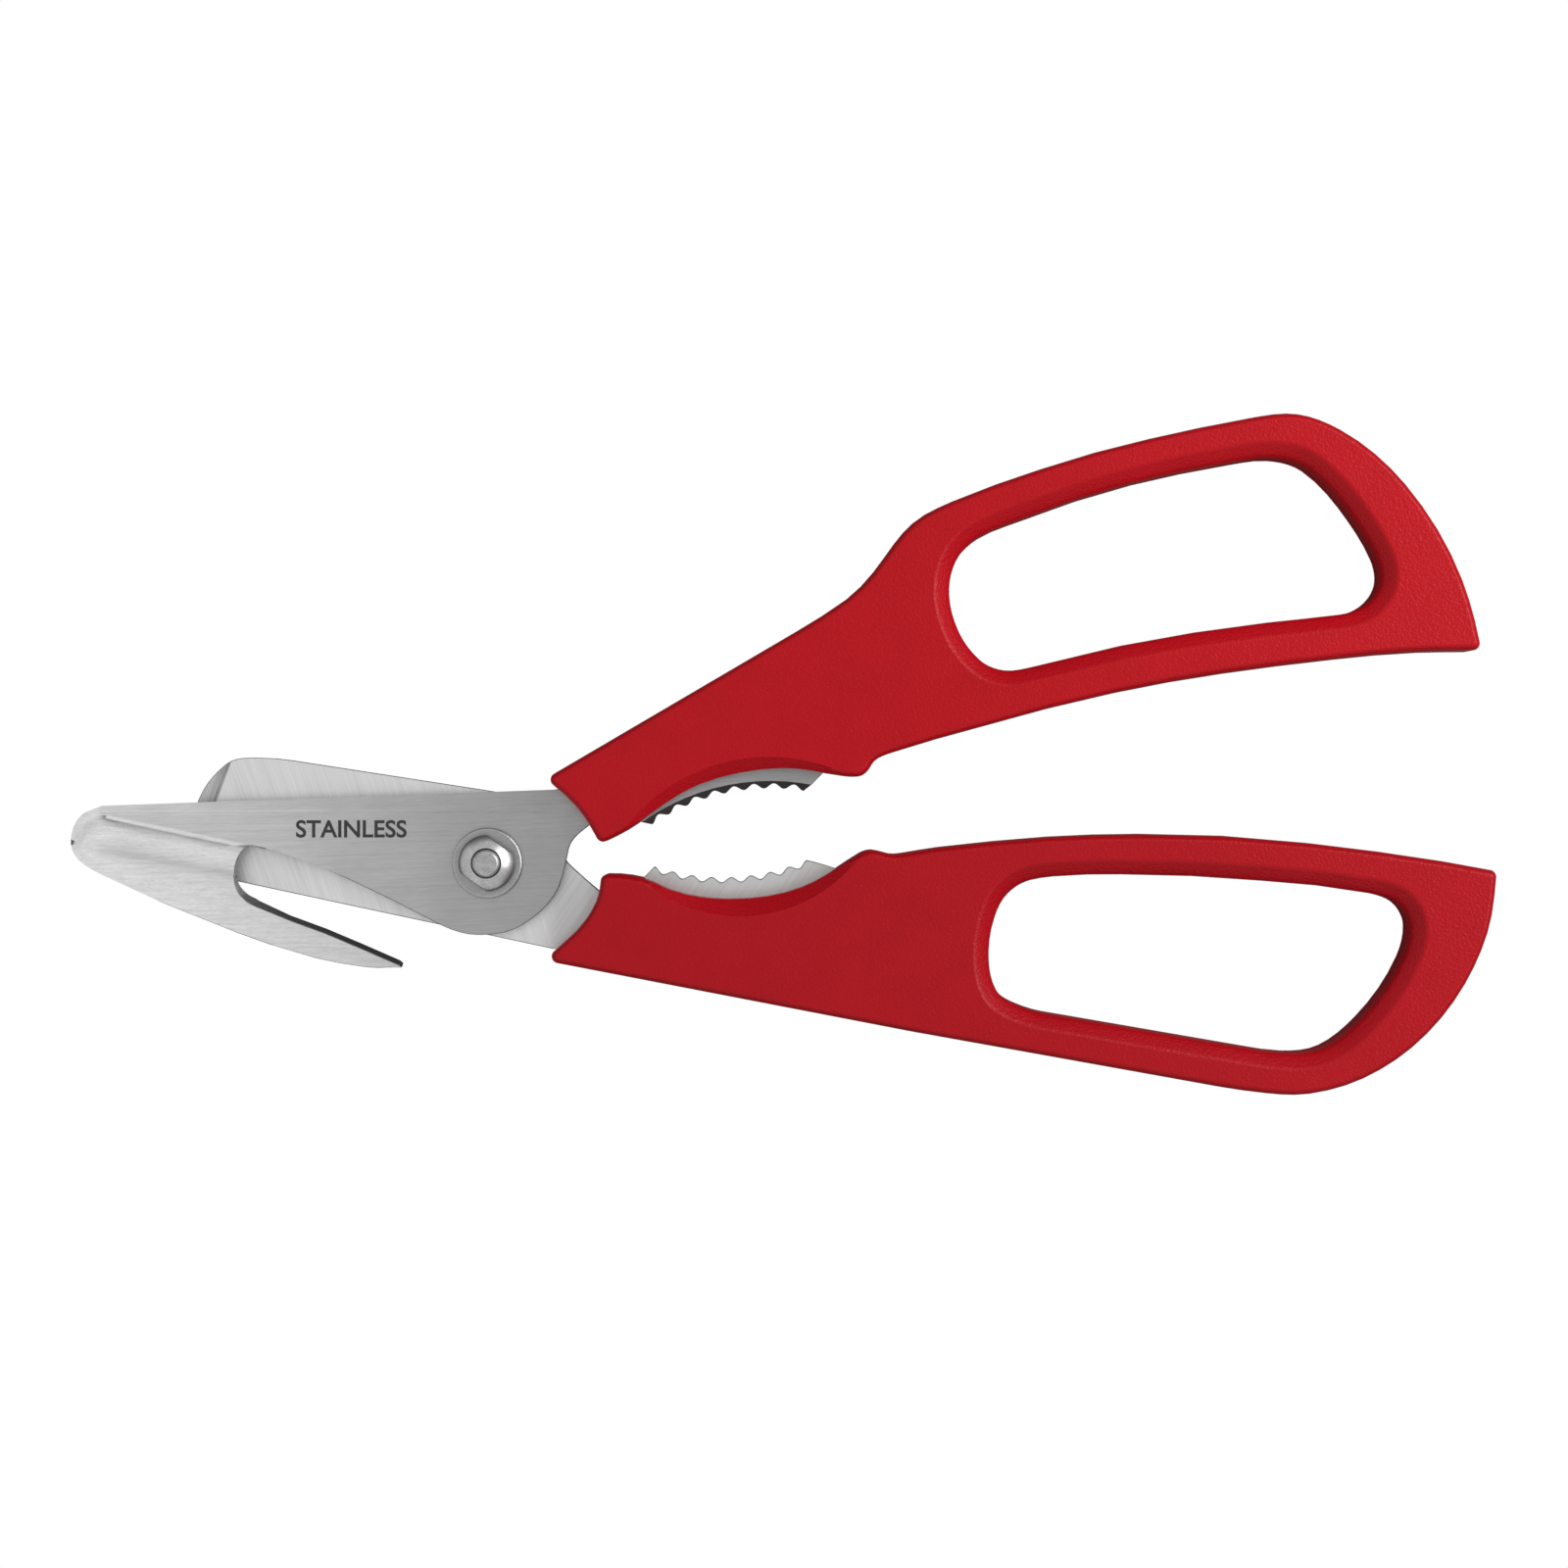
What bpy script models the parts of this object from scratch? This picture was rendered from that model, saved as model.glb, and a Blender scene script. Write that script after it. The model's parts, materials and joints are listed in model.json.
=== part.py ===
"""Shears with a scooped nose, a back-pointing prong and cracking jaws in the handles.

Blender 4.5, metres, +Z up.  Run it with: blender --background --python part.py

The shears lie flat, a little open, on the plane z = 0, with the nose to -X.  Every size below is in
millimetres, and MM turns it into metres where a mesh or a curve is made.  The outlines are drawn
about the pivot, seen from above, and go clockwise.  A knot is (x, y, heading in degrees); a corner
is (x, y, heading in, heading out), with x and y where its two sides would meet.
"""
import math

import bmesh
import bpy
from mathutils import Matrix, Vector
from mathutils.geometry import interpolate_bezier

MM = 0.001

# Fineness of the mesh
MERGE = 0.002              # points closer than this are one
BEND_STEP = 9.0            # an outline turns about this many degrees between two points
TURNED_STEPS = 48          # faces round a turned piece
CONE_STEPS = 96
OVERCUT = 0.5              # how far a cutter reaches past the face that it cuts

# Thicknesses and heights
HANDLE_THICKNESS = 12.0
SHEET = 2.0                # both blades are cut from this sheet
RUNNING_GAP = 0.1          # between the two blades
SEAT_GAP = 0.05            # between faces that are clamped together
TANG_CLEARANCE = 0.25      # between a tang and the plastic moulded round it
MID_PLANE = HANDLE_THICKNESS / 2
REAR_TOP = MID_PLANE - RUNNING_GAP / 2
REAR_BOTTOM = REAR_TOP - SHEET
FRONT_BOTTOM = MID_PLANE + RUNNING_GAP / 2
FRONT_TOP = FRONT_BOTTOM + SHEET

# Lengths that can be set by themselves: the straight run of the blades and of the finger loops
BLADE_RUN = 17.0
BLADE_RUN_START = -13.0    # where the run starts, from the pivot towards the nose
BLADE_RUN_DRAWN = 17.0     # its length in the outlines below
LOOP_RUN = 28.0
LOOP_RUN_START = 78.0      # where the run starts, from the pivot towards the tail
LOOP_RUN_DRAWN = 28.0

# Rounded edges of the handles
HANDLE_EDGE = 0.9
EDGE_STEPS = 2
CORNER_RADIUS = 1.0        # of the outlines' corners, no less than HANDLE_EDGE

# Pivot
SHANK_RADIUS = 2.0
SHANK_CLEARANCE = 0.1
NECK_SIDE = 4.8            # square neck, keyed in the rear blade
NECK_RECESS = 0.1          # from the neck's end up to the rear blade's face
HEAD_RADIUS = 4.8
HEAD_HEIGHT = 1.7
WASHER_RADIUS = 5.0
WASHER_THICKNESS = 0.8
NUT_RADIUS = 4.0
NUT_HEIGHT = 2.6
NUT_ACROSS_FLATS = 6.55
NUT_TURN = -35.0           # which way the flats run, in degrees
NUT_CROWN = 0.9            # rounding of the nut's top edge
STUD_PROUD = 0.3           # shank end above the nut
STUD_CHAMFER = 0.4

# Cracking jaws: teeth on a circle's arc, from the first tip's angle to the last one's
TOOTH_COUNT = 9
TOOTH_DEPTH = 0.75
TOOTH_STEPS = 8
FRONT_JAW_CENTRE = (40.3, -19.7)
FRONT_JAW_RADIUS = 30.3
FRONT_JAW_ANGLES = (81.1, 123.8)
FRONT_JAW_BEVEL = 1.1      # width of the bevel that faces up
REAR_JAW_CENTRE = (33.4, 28.6)
REAR_JAW_RADIUS = 30.7
REAR_JAW_ANGLES = (-108.4, -66.9)

# Throat flare: a 45 degree cone that dishes both faces of each handle beside the jaws
FLARE_DEPTH = 3.2
UPPER_FLARE = (40.1, -10.7, 25.8)     # centre x, centre y, radius at the face
LOWER_FLARE = (35.9, 13.9, 21.4)

# Scoop: an arched channel pressed into the nose of the front blade
NOSE_CENTRE = (-55.2, 3.0)
SCOOP_HEADING = -11.8      # which way the channel runs from the nose, in degrees
SCOOP_RADIUS = 6.6         # of the arch
SCOOP_BLADE_SLOPE = 50.0   # slope of the arch where it leaves the flat blade
SCOOP_PRONG_SLOPE = 32.0   # slope of the arch where it meets the prong's flange
SCOOP_BLADE_EDGE = 4.1     # from the channel's middle to the crease at the flat blade
SCOOP_LENGTH = 22.0        # past this, from the nose's centre, only the prong stands off the blade
PRONG_TILT = 18.0
SCOOP_STRIP = 0.8          # width of the strips that follow the arch
NOSE_STRIPS = 6            # strips across the channel where the nose closes it
CREASE_TURN = 110          # degrees that the crease turns round the nose
CREASE_STEPS = 12          # folds along that turn
ON_CREASE = 0.02           # a spot this close to the flat blade's face belongs to it

# Anchor holes through the tangs: x, y and radius
FRONT_ANCHORS = [(24.5, 13.2, 2.2), (44.5, 21.5, 2.6)]
REAR_ANCHORS = [(22.0, -9.6, 2.2), (48.0, -10.0, 2.8)]

# Grinding of the rear blade's cutting edge, on its back, and the land that grinding leaves
REAR_EDGE_START = (-44.0, -0.9)
REAR_EDGE_END = (9.2, -12.3)
GRIND_WIDTH = 3.0
GRIND_LAND = 0.3
GRINDER = (10.0, 3.0)      # width and height of the wedge that is taken off

UPPER_HANDLE = [
    (8.4, 12.0, 140, 31), (44.0, 32.9, 31), (51.0, 37.4, 37), (56.5, 43.5, 55),
    (60.4, 48.2, 41), (66.0, 51.3, 24), (78.6, 55.9, 19), (94.0, 60.2, 13), (108.0, 63.1, 10),
    (113.5, 63.8, 0), (121.1, 61.5, -29), (130.3, 53.8, -50), (138.4, 40.2, -69),
    (141.1, 30.2, -79, 180), (133.0, 30.1, -178), (121.1, 29.1, -174),
    (105.3, 27.1, -172), (89.6, 24.3, -168), (70.3, 19.4, -164), (57.6, 15.7, -161),
    (54.6, 13.9, -117), (52.7, 12.3, -174), (50.5, 12.4, 172), (45.7, 13.2, 170),
    (41.8, 13.5, -179), (30.2, 11.2, -159), (22.7, 6.6, -144), (19.8, 4.6, -152),
    (16.1, 2.8, -158, 118), (12.7, 8.1, 131),
]
UPPER_LOOP = [
    (106.0, 57.0, 9.5), (111.5, 57.6, -4), (116.6, 56.1, -35), (123.2, 48.9, -55),
    (126.4, 43.4, -67), (127.0, 40.8, -88), (125.4, 37.2, -135), (121.0, 35.3, -172),
    (110.9, 34.2, -173), (90.0, 30.9, -168), (77.5, 27.9, -168), (73.5, 27.4, 173),
    (69.9, 29.0, 137), (67.0, 33.0, 114), (65.7, 38.0, 93), (66.6, 42.8, 64),
    (70.0, 46.4, 32), (76.0, 48.9, 21), (92.0, 54.1, 14),
]
LOWER_HANDLE = [
    (8.2, -13.8, 169, 44), (14.0, -8.1, 55), (15.9, -4.4, 75),
    (16.3, -1.6, 84, 2), (22.1, -2.1, -14), (26.2, -3.8, -20),
    (34.7, -5.1, 0), (44.8, -3.4, 21), (49.6, -0.8, 32), (53.0, 1.4, 28),
    (54.8, 1.85, -4), (57.2, 1.3, -10), (59.2, 1.4, 8), (64.2, 2.2, 6.5),
    (80.0, 3.7, 3.5), (93.0, 4.1, 0), (117.2, 2.8, -7), (135.6, 0.3, -10),
    (143.3, -1.1, -10, -95), (142.0, -9.8, -107), (138.8, -17.1, -120),
    (131.2, -26.2, -140), (124.4, -30.5, -155), (116.7, -32.7, -172), (110.5, -32.6, 174),
    (104.0, -31.7, 170), (60.0, -23.8, 169.5),
]
LOWER_LOOP = [
    (80.4, -1.9, 6), (90.0, -1.6, 0), (110.0, -2.5, -5), (125.5, -4.3, -12),
    (129.9, -6.2, -50), (131.1, -9.0, -88), (130.1, -13.5, -114), (124.2, -22.1, -134),
    (118.9, -26.2, -155), (113.5, -27.0, 179), (108.0, -26.3, 170.5), (79.0, -21.3, 170),
    (75.2, -20.1, 157), (72.3, -17.9, 118), (71.3, -12.6, 89), (72.1, -7.8, 72),
    (74.0, -4.3, 45), (77.2, -2.4, 15),
]
# The front blade: back edge and tang as far as the jaw, then from the jaw round to the nose
FRONT_BACK_AND_TANG = [
    (-54.9, 8.15, 2.1), (9.4, 10.45, 2.1), (15.0, 12.1, 31), (45.0, 30.0, 31),
    (50.5, 30.6, -30), (54.5, 20.5, -82), (52.6, 16.8, -150), (50.0, 15.0, -138), (46.2, 11.2, -135),
]
FRONT_NECK_TO_NOSE = [
    (22.0, 5.8, 160), (19.2, 7.3, 176), (16.6, 6.8, -148), (14.5, 5.4, -142), (11.5, 2.0, -103),
    (10.1, -3.5, -114), (5.0, -8.8, -148), (-1.3, -10.25, 180), (-7.5, -8.4, 152),
    (-20.0, -2.2, 155), (-28.0, 1.0, 161), (-33.0, 2.5, 168), (-35.8, -1.1, -92),
    (-35.2, -4.2, -60), (-33.2, -6.0, -27), (-23.0, -10.0, -22.5), (-12.9, -14.4, -24), (-12.4, -14.9, 178),
    (-17.2, -14.9, 172), (-24.5, -13.6, 165), (-36.3, -9.7, 159), (-54.6, -1.7, 153),
    (-59.25, 3.4, 88), (-57.3, 7.2, 35),
]
# The rear blade: tip, back edge and neck as far as the jaw, then from the jaw round to the tip
REAR_TIP_TO_NECK = [
    (-42.8, 3.0, 92), (-41.35, 9.2, 68), (-37.5, 14.1, 39), (-32.6, 15.0, 0), (-28.2, 14.65, -8.7),
    (1.3, 10.1, -8.7), (8.2, 6.6, -52), (10.7, 1.2, -80), (11.9, -0.6, -44), (15.9, -4.1, -41),
    (19.0, -5.3, 0), (21.7, -2.6, 55),
]
REAR_TANG_TO_TIP = [
    (46.4, 0.15, -16), (50.5, -1.1, -20), (57.5, -5.5, -50), (60.0, -12.0, -100),
    (56.0, -17.4, 172), (16.0, -11.6, 176), (9.2, -12.3, 167.9), (-40.3, -1.7, 167.9),
]


# ---------------------------------------------------------------- outlines

def rounded(knots):
    """Each corner becomes the two knots where its rounding starts and ends."""
    smooth = []
    for knot in knots:
        if len(knot) == 3:
            smooth.append(knot)
            continue
        x, y, heading_in, heading_out = knot
        turn = math.radians((heading_out - heading_in + 180) % 360 - 180)
        back = CORNER_RADIUS * math.tan(abs(turn) / 2)
        for heading, side in ((heading_in, -1), (heading_out, 1)):
            angle = math.radians(heading)
            smooth.append((x + side * back * math.cos(angle), y + side * back * math.sin(angle), heading))
    return smooth


def trace(knots):
    """Points along smooth curves through the knots, each leaving and arriving on its heading."""
    knots = rounded(knots)
    points = []
    for (x0, y0, heading0), (x1, y1, heading1) in zip(knots, knots[1:]):
        start = Vector((x0, y0, 0))
        end = Vector((x1, y1, 0))
        chord = end - start
        chord_heading = math.degrees(math.atan2(chord.y, chord.x))
        bend = sum(abs((heading - chord_heading + 180) % 360 - 180) for heading in (heading0, heading1))
        reach = chord.length / 3 / math.cos(math.radians(bend / 4)) ** 2
        leave = Matrix.Rotation(math.radians(heading0), 3, "Z") @ Vector((reach, 0, 0))
        arrive = Matrix.Rotation(math.radians(heading1), 3, "Z") @ Vector((reach, 0, 0))
        steps = 1 + math.ceil(bend / BEND_STEP)
        points += interpolate_bezier(start, start + leave, end - arrive, end, steps + 1)[:-1]
    points.append(end)
    return points


def closed_trace(knots):
    smooth = rounded(knots)
    return trace(smooth + smooth[:1])[:-1]


def lengthen(points, start, drawn, wanted):
    """Stretch the run that starts at x = start; what lies beyond the run moves along whole."""
    side = 1 if start > 0 else -1
    moved = []
    for point in points:
        into_run = min(max((point.x - start) * side, 0), drawn)
        moved.append(point + Vector((into_run * (wanted / drawn - 1) * side, 0, 0)))
    return moved


def long_loop(points):
    return lengthen(points, LOOP_RUN_START, LOOP_RUN_DRAWN, LOOP_RUN)


def long_blade(points):
    return lengthen(points, BLADE_RUN_START, BLADE_RUN_DRAWN, BLADE_RUN)


def jaw_teeth(centre, radius, angles, depth):
    """A wave of tooth tips on a circle's arc; the gullets lie `depth` outside the circle."""
    steps = TOOTH_STEPS * (TOOTH_COUNT - 1)
    points = []
    for step in range(steps + 1):
        angle = math.radians(angles[0] + (angles[1] - angles[0]) * step / steps)
        wave = (1 - math.cos(2 * math.pi * step / TOOTH_STEPS)) / 2
        out = Vector((math.cos(angle), math.sin(angle), 0)) * (radius + depth * wave)
        points.append(Vector((*centre, 0)) + out)
    return points


def circle(x, y, radius):
    steps = max(16, round(radius * 12))
    turns = [2 * math.pi * step / steps for step in range(steps)]
    return [Vector((x + radius * math.cos(turn), y + radius * math.sin(turn), 0)) for turn in turns]


def square(side):
    half = side / 2
    return [Vector((x, y, 0)) for x, y in ((-half, -half), (half, -half), (half, half), (-half, half))]


def front_outline(depth):
    teeth = jaw_teeth(FRONT_JAW_CENTRE, FRONT_JAW_RADIUS, FRONT_JAW_ANGLES, depth)
    return long_blade(trace(FRONT_BACK_AND_TANG) + teeth + trace(FRONT_NECK_TO_NOSE))


def rear_outline(depth):
    teeth = jaw_teeth(REAR_JAW_CENTRE, REAR_JAW_RADIUS, REAR_JAW_ANGLES, depth)
    return long_blade(trace(REAR_TIP_TO_NECK) + teeth + trace(REAR_TANG_TO_TIP))


# ---------------------------------------------------------------- scene and shared tools

for old in list(bpy.data.objects):
    bpy.data.objects.remove(old, do_unlink=True)

shears = bpy.data.collections.new("shears")
cutters = bpy.data.collections.new("cutters")
bpy.context.scene.collection.children.link(shears)
bpy.context.scene.collection.children.link(cutters)


def material(name, colour, roughness, metallic):
    new = bpy.data.materials.new(name)
    new.use_nodes = True
    shader = new.node_tree.nodes["Principled BSDF"]
    shader.inputs["Base Color"].default_value = (*colour, 1)
    shader.inputs["Roughness"].default_value = roughness
    shader.inputs["Metallic"].default_value = metallic
    return new


def mesh_object(name, bm, collection):
    """Put a bmesh into a new object, with its faces turned outwards."""
    bmesh.ops.recalc_face_normals(bm, faces=bm.faces)
    mesh = bpy.data.meshes.new(name)
    bm.to_mesh(mesh)
    bm.free()
    made = bpy.data.objects.new(name, mesh)
    collection.objects.link(made)
    return made


def outline_mesh(rings, bottom, top, grow=0.0, edge=0.0):
    """A bmesh of the area inside the first ring and outside the others, as thick as top - bottom.

    grow widens the area all round, so its holes get smaller; edge is the radius of its rounded rims.
    """
    curve = bpy.data.curves.new("outline", "CURVE")
    curve.dimensions = "2D"
    curve.fill_mode = "BOTH" if top > bottom else "FRONT"
    curve.extrude = ((top - bottom) / 2 - edge) * MM
    curve.bevel_depth = edge * MM
    curve.bevel_resolution = EDGE_STEPS - 1
    curve.offset = (grow - edge) * MM
    for ring in rings:
        spline = curve.splines.new("POLY")
        spline.points.add(len(ring) - 1)
        spline.use_cyclic_u = True
        for knot, point in zip(spline.points, ring):
            knot.co = (point.x * MM, point.y * MM, 0, 1)
    drawing = bpy.data.objects.new("outline", curve)
    drawing.location.z = (bottom + top) / 2 * MM
    cutters.objects.link(drawing)
    bpy.context.view_layer.update()
    evaluated = drawing.evaluated_get(bpy.context.evaluated_depsgraph_get())
    mesh = bpy.data.meshes.new_from_object(evaluated)
    mesh.transform(drawing.matrix_world)
    bm = bmesh.new()
    bm.from_mesh(mesh)
    bmesh.ops.remove_doubles(bm, verts=bm.verts, dist=MERGE * MM)
    bpy.data.objects.remove(drawing)
    bpy.data.meshes.remove(mesh)
    return bm


def cut(target, cutter):
    """Take the cutter's volume out of the target with a Boolean modifier; the two move as one."""
    cutter.hide_render = True
    cutter.display_type = "WIRE"
    cutter.parent = target
    modifier = target.modifiers.new("cut " + cutter.name, "BOOLEAN")
    modifier.operation = "DIFFERENCE"
    modifier.solver = "EXACT"
    modifier.object = cutter


def finish(piece, parent, finish_material):
    piece.data.materials.append(finish_material)
    piece.parent = parent


def empty(name, parent=None):
    made = bpy.data.objects.new(name, None)
    shears.objects.link(made)
    made.parent = parent
    return made


def cone_cutter(name, x, y, bottom, bottom_radius, top, top_radius):
    bm = bmesh.new()
    middle = Matrix.Translation(Vector((x, y, (bottom + top) / 2)) * MM)
    bmesh.ops.create_cone(bm, cap_ends=True, segments=CONE_STEPS, radius1=bottom_radius * MM,
                          radius2=top_radius * MM, depth=(top - bottom) * MM, matrix=middle)
    return mesh_object(name, bm, cutters)


# ---------------------------------------------------------------- handles

def make_handle(name, outline, loop, flare, tang, parent, plastic):
    """A moulded handle: an outline with a finger loop, rounded edges, a tang pocket and a flare."""
    rings = [long_loop(closed_trace(knots)) for knots in (outline, loop)]
    bm = outline_mesh(rings, 0, HANDLE_THICKNESS, edge=HANDLE_EDGE)
    piece = mesh_object(name, bm, shears)
    cut(piece, tang)
    x, y, radius = flare
    cut(piece, cone_cutter(name + " top flare", x, y, HANDLE_THICKNESS - FLARE_DEPTH, radius - FLARE_DEPTH,
                           HANDLE_THICKNESS + OVERCUT, radius + OVERCUT))
    cut(piece, cone_cutter(name + " bottom flare", x, y, -OVERCUT, radius + OVERCUT,
                           FLARE_DEPTH, radius - FLARE_DEPTH))
    finish(piece, parent, plastic)


def tang_cutter(name, outline, anchors, bottom, top):
    """The room that a tang takes in the plastic; posts are left standing in its anchor holes."""
    rings = [outline] + [circle(*anchor) for anchor in anchors]
    bm = outline_mesh(rings, bottom - TANG_CLEARANCE, top + TANG_CLEARANCE, TANG_CLEARANCE)
    return mesh_object(name, bm, cutters)


# ---------------------------------------------------------------- front blade

def scoop_axes(point):
    """How far a point lies along the channel from the nose's centre, and across it to the blade."""
    nose = long_blade([Vector((*NOSE_CENTRE, 0))])[0]
    turned = Matrix.Rotation(math.radians(-SCOOP_HEADING), 3, "Z") @ (point - nose)
    return turned.x, turned.y


APEX_ACROSS = SCOOP_BLADE_EDGE - SCOOP_RADIUS * math.sin(math.radians(SCOOP_BLADE_SLOPE))
PRONG_EDGE = APEX_ACROSS - SCOOP_RADIUS * math.sin(math.radians(SCOOP_PRONG_SLOPE))
ARCH_DROP = SCOOP_RADIUS * math.cos(math.radians(SCOOP_BLADE_SLOPE))
PRONG_RISE = SCOOP_RADIUS * math.cos(math.radians(SCOOP_PRONG_SLOPE)) - ARCH_DROP


def section_rise(across):
    """Height of the pressed sheet above the flat blade, in a section across the channel."""
    if across >= SCOOP_BLADE_EDGE:
        return 0.0
    if across <= PRONG_EDGE:
        return PRONG_RISE - (PRONG_EDGE - across) * math.tan(math.radians(PRONG_TILT))
    return math.sqrt(SCOOP_RADIUS ** 2 - (across - APEX_ACROSS) ** 2) - ARCH_DROP


def sheet_top(point):
    """Height of the front blade's upper face; behind its centre the nose turns to close the channel."""
    along, across = scoop_axes(point)
    if along > SCOOP_LENGTH and across > PRONG_EDGE / 2:
        return FRONT_TOP
    if along >= 0:
        return FRONT_TOP + section_rise(across)
    radius = math.hypot(along, across)
    prong_share = max(-across, 0) / radius
    return FRONT_TOP + section_rise(radius) * (1 - prong_share) + section_rise(-radius) * prong_share


def inside_sheet(point, depth):
    """The spot `depth` below the upper face at a point, square to the face as bent sheet is."""
    top = sheet_top(point)
    if abs(top - FRONT_TOP) < ON_CREASE:
        return Vector((point.x, point.y, top - depth))
    reach = ON_CREASE / 2
    east, north = Vector((reach, 0, 0)), Vector((0, reach, 0))
    slope_x = (sheet_top(point + east) - sheet_top(point - east)) / (2 * reach)
    slope_y = (sheet_top(point + north) - sheet_top(point - north)) / (2 * reach)
    normal = Vector((-slope_x, -slope_y, 1)).normalized()
    return Vector((point.x, point.y, top)) - normal * depth


def make_front_blade(parent, steel):
    """Scoop, prong, cutting blade, upper jaw and tang, pressed from one sheet."""
    bore = circle(0, 0, SHANK_RADIUS + SHANK_CLEARANCE)
    rings = [front_outline(TOOTH_DEPTH), bore] + [circle(*anchor) for anchor in FRONT_ANCHORS]
    bm = outline_mesh(rings, 0, 0)

    # Fold lines: strips along the channel, and across it where the nose closes
    nose = long_blade([Vector((*NOSE_CENTRE, 0))])[0] * MM
    along = Matrix.Rotation(math.radians(SCOOP_HEADING), 3, "Z") @ Vector((1, 0, 0))
    across = Vector((-along.y, along.x, 0))
    strips = round((SCOOP_BLADE_EDGE - PRONG_EDGE) / SCOOP_STRIP)
    width = (SCOOP_BLADE_EDGE - PRONG_EDGE) / strips
    folds = [(across, PRONG_EDGE + width * strip) for strip in range(strips + 1)]
    folds += [(along, -SCOOP_STRIP * strip) for strip in range(NOSE_STRIPS)]
    for direction, distance in folds:
        geometry = bm.verts[:] + bm.edges[:] + bm.faces[:]
        spot = nose + direction * distance * MM
        bmesh.ops.bisect_plane(bm, geom=geometry, plane_co=spot, plane_no=direction)

    # The crease turns round the nose: folds that touch its circle, on the nose's own faces
    for step in range(1, CREASE_STEPS + 1):
        angle = math.radians(90 + CREASE_TURN * step / CREASE_STEPS)
        direction = along * math.cos(angle) + across * math.sin(angle)
        faces = [face for face in bm.faces if (face.calc_center_median() - nose).dot(along) < 0]
        edges = {edge for face in faces for edge in face.edges}
        verts = {vertex for face in faces for vertex in face.verts}
        bmesh.ops.bisect_plane(bm, geom=faces + list(edges) + list(verts),
                               plane_co=nose + direction * SCOOP_BLADE_EDGE * MM, plane_no=direction)

    # The flat blank becomes a sheet: its copy is the upper face, and it is itself the lower one
    lower = bm.verts[:]
    copy = bmesh.ops.extrude_face_region(bm, geom=bm.faces[:], use_keep_orig=True)
    upper = [item for item in copy["geom"] if isinstance(item, bmesh.types.BMVert)]
    bmesh.ops.triangulate(bm, faces=bm.faces)
    for vertices, depth in ((upper, 0), (lower, SHEET)):
        for vertex in vertices:
            vertex.co = inside_sheet(vertex.co / MM, depth) * MM
    piece = mesh_object("front_blade", bm, shears)

    x, y = FRONT_JAW_CENTRE
    slope = FRONT_JAW_BEVEL / (SHEET - GRIND_LAND)
    below, above = FRONT_BOTTOM - OVERCUT, FRONT_TOP + OVERCUT
    at_land = FRONT_BOTTOM + GRIND_LAND
    cut(piece, cone_cutter("jaw bevel", x, y, below, FRONT_JAW_RADIUS - (at_land - below) * slope,
                           above, FRONT_JAW_RADIUS + (above - at_land) * slope))
    finish(piece, parent, steel)


# ---------------------------------------------------------------- rear blade

def make_rear_blade(parent, steel):
    """Plain cutting blade, lower jaw and tang, with a square hole for the pivot screw's neck."""
    hole = square(NECK_SIDE + 2 * SHANK_CLEARANCE)
    rings = [rear_outline(TOOTH_DEPTH), hole] + [circle(*anchor) for anchor in REAR_ANCHORS]
    piece = mesh_object("rear_blade", outline_mesh(rings, REAR_BOTTOM, REAR_TOP), shears)

    # The cutting edge is ground on the back: a wedge is taken off along it
    wedge = bmesh.new()
    angle = math.atan2(SHEET - GRIND_LAND, GRIND_WIDTH)
    start = long_blade([Vector((*REAR_EDGE_START, 0))])[0]
    end = Vector(REAR_EDGE_END).to_3d()
    edge = end - start
    heading = math.atan2(edge.y, edge.x)
    width, height = GRINDER
    placed = (Matrix.Translation(Vector((start.x, start.y, REAR_TOP - GRIND_LAND)) * MM)
              @ Matrix.Rotation(heading, 4, "Z") @ Matrix.Rotation(-angle, 4, "X")
              @ Matrix.Diagonal((edge.length * MM, width * MM, height * MM, 1))
              @ Matrix.Translation((0.5, 0, -0.5)))
    bmesh.ops.create_cube(wedge, size=1, matrix=placed)
    cut(piece, mesh_object("edge grinding", wedge, cutters))
    finish(piece, parent, steel)


# ---------------------------------------------------------------- pivot

def turned(name, profile, closed=False):
    """Turn a profile of (radius, height) points round the pivot's axis with a Screw modifier."""
    mesh = bpy.data.meshes.new(name)
    points = [(radius * MM, 0, height * MM) for radius, height in profile]
    edges = [(index, index + 1) for index in range(len(points) - 1)]
    if closed:
        edges.append((len(points) - 1, 0))
    mesh.from_pydata(points, edges, [])
    piece = bpy.data.objects.new(name, mesh)
    shears.objects.link(piece)
    screw = piece.modifiers.new("turned", "SCREW")
    screw.axis = "Z"
    screw.steps = TURNED_STEPS
    screw.render_steps = TURNED_STEPS
    screw.use_merge_vertices = True
    screw.merge_threshold = MERGE * MM
    screw.use_normal_flip = True
    return piece


def box(name, size_x, size_y, bottom, top, centre=(0, 0), turn=0.0):
    bm = bmesh.new()
    placed = (Matrix.Rotation(math.radians(turn), 4, "Z")
              @ Matrix.Translation(Vector((*centre, (bottom + top) / 2)) * MM)
              @ Matrix.Diagonal((size_x * MM, size_y * MM, (top - bottom) * MM, 1)))
    bmesh.ops.create_cube(bm, size=1, matrix=placed)
    return mesh_object(name, bm, cutters)


HEAD_TOP = REAR_BOTTOM - SEAT_GAP
HEAD_BOTTOM = HEAD_TOP - HEAD_HEIGHT
WASHER_BOTTOM = FRONT_TOP + SEAT_GAP
WASHER_TOP = WASHER_BOTTOM + WASHER_THICKNESS
NUT_BOTTOM = WASHER_TOP + SEAT_GAP
NUT_TOP = NUT_BOTTOM + NUT_HEIGHT
STUD_TOP = NUT_TOP + STUD_PROUD


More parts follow.
